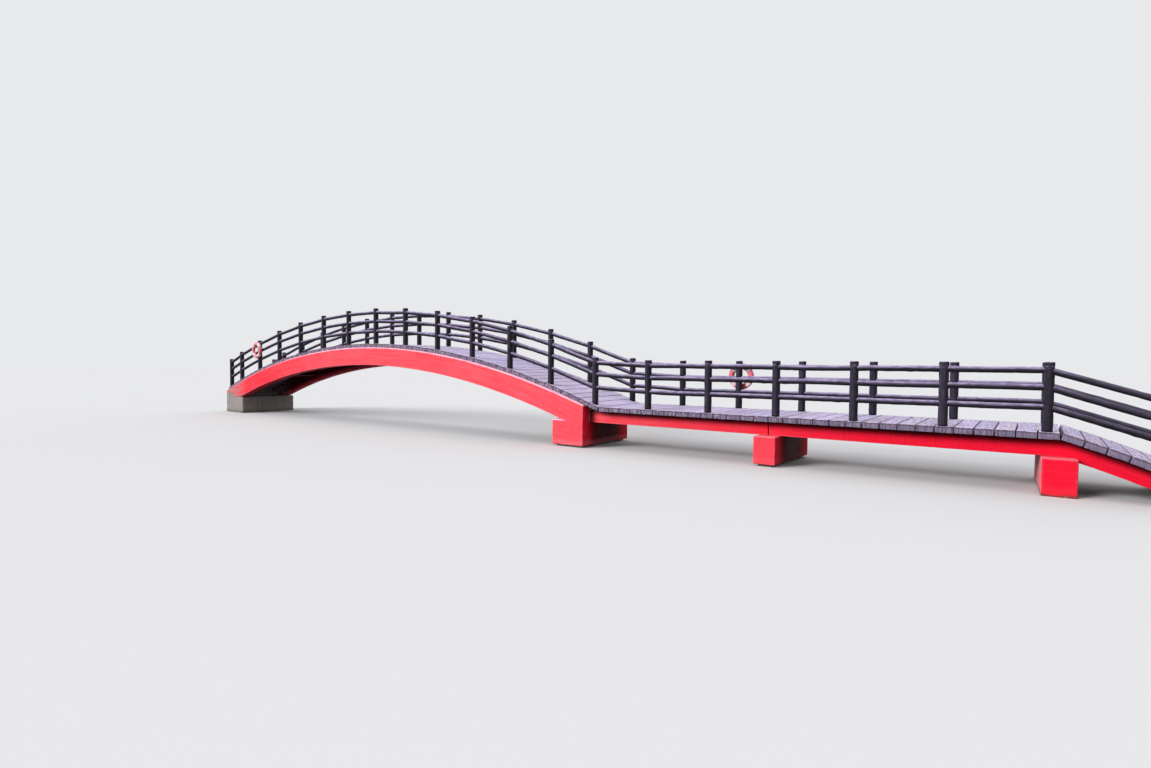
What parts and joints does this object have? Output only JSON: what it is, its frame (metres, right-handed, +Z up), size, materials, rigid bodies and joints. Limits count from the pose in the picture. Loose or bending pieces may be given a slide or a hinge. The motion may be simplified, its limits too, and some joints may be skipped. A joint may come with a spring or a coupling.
{
  "type": "moon bridge",
  "caption": "Concrete moon bridge with two red arch ribs, flat side spans on block piers, a plank deck, a short ramp and log-style post-and-rail sides.",
  "frame": {"origin": "middle of the bridge's footprint, at the water line that its feet stand on", "axes": "+X along the bridge from the arch's far abutment towards the ramp, +Y across it away from the picture's viewer, +Z up"},
  "size_m": [29.1592, 2.1852, 3.8392],
  "materials": {
    "painted_concrete": "brushed red paint over cast concrete, weathered",
    "bare_concrete": "bare cast concrete, stained by water",
    "deck_concrete": "precast planks with a trowelled, weathered face",
    "log_concrete": "dark stained concrete moulded like round timber",
    "buoy_plastic": "sun-bleached moulded plastic",
    "hook_steel": "galvanised steel"
  },
  "bodies": {
    "root": {"arch_rib_near": "painted_concrete", "arch_rib_far": "painted_concrete", "arch_cross_beams": "painted_concrete", "arch_pier": "painted_concrete", "middle_pier": "painted_concrete", "shore_pier": "painted_concrete", "inner_beam_near": "painted_concrete", "inner_beam_far": "painted_concrete", "outer_beam_near": "painted_concrete", "outer_beam_far": "painted_concrete", "ramp_beam_near": "painted_concrete", "ramp_beam_far": "painted_concrete", "arch_abutment": "bare_concrete", "arch_pier_foot": "bare_concrete", "middle_pier_foot": "bare_concrete", "shore_abutment": "bare_concrete", "planks_arch_left": "deck_concrete", "planks_arch_crown": "deck_concrete", "planks_arch_right": "deck_concrete", "planks_inner_span": "deck_concrete", "planks_outer_span": "deck_concrete", "planks_ramp": "deck_concrete", "posts_near_arch_left": "log_concrete", "posts_near_arch_crown": "log_concrete", "posts_near_arch_right": "log_concrete", "posts_near_flat": "log_concrete", "posts_near_ramp": "log_concrete", "posts_far_arch_left": "log_concrete", "posts_far_arch_crown": "log_concrete", "posts_far_arch_right": "log_concrete", "posts_far_flat": "log_concrete", "posts_far_ramp": "log_concrete", "rails_near_arch_left": "log_concrete", "rails_near_arch_crown": "log_concrete", "rails_near_arch_right": "log_concrete", "rails_near_flat": "log_concrete", "rails_near_ramp": "log_concrete", "rails_far_arch_left": "log_concrete", "rails_far_arch_crown": "log_concrete", "rails_far_arch_right": "log_concrete", "rails_far_flat": "log_concrete", "rails_far_ramp": "log_concrete", "lifebuoys": "buoy_plastic", "lifebuoy_hooks": "hook_steel"}
  },
  "joints": []
}
